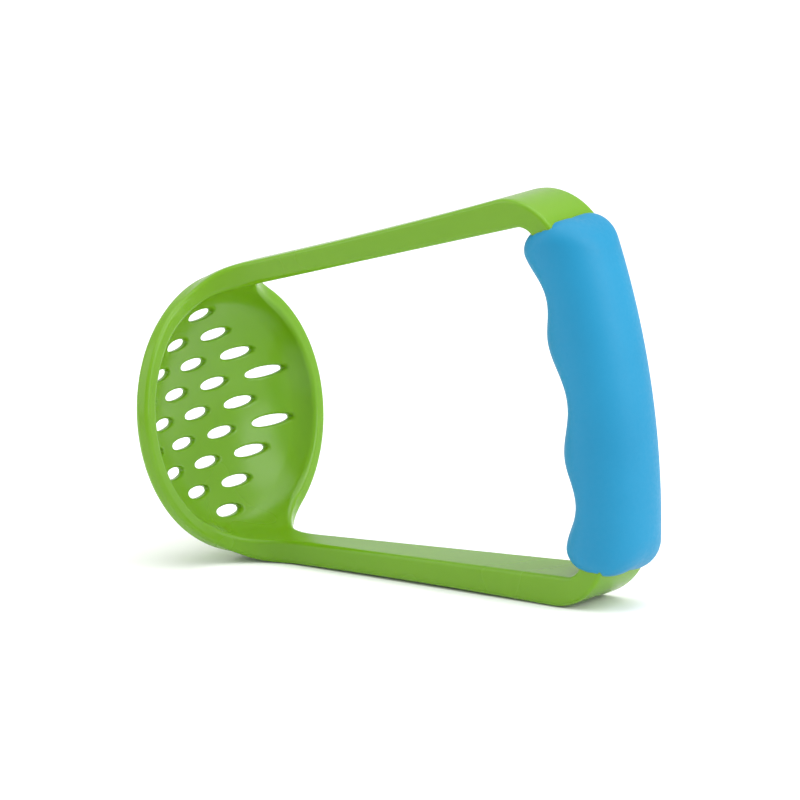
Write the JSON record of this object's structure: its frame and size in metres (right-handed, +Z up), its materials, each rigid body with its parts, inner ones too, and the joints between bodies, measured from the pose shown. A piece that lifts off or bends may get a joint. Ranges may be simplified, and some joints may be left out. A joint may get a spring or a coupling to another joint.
{
  "type": "hand food masher",
  "caption": "One-piece moulded hand masher: a slotted shallow dish on two flat arms joined by a bar with a soft finger-grooved grip.",
  "frame": {"origin": "middle of the object's bounding box, on the surface that the lower arm's flat outer face lies on", "axes": "+X from the dish towards the grip along the lower arm, +Y across the tool, +Z up from the lower arm to the upper arm"},
  "size_m": [0.1568, 0.0784, 0.1115],
  "materials": {
    "green_plastic": "glossy moulded polypropylene",
    "blue_rubber": "satin soft-touch rubber"
  },
  "bodies": {
    "root": {"masher_frame": "green_plastic", "soft_grip": "blue_rubber"}
  },
  "joints": []
}
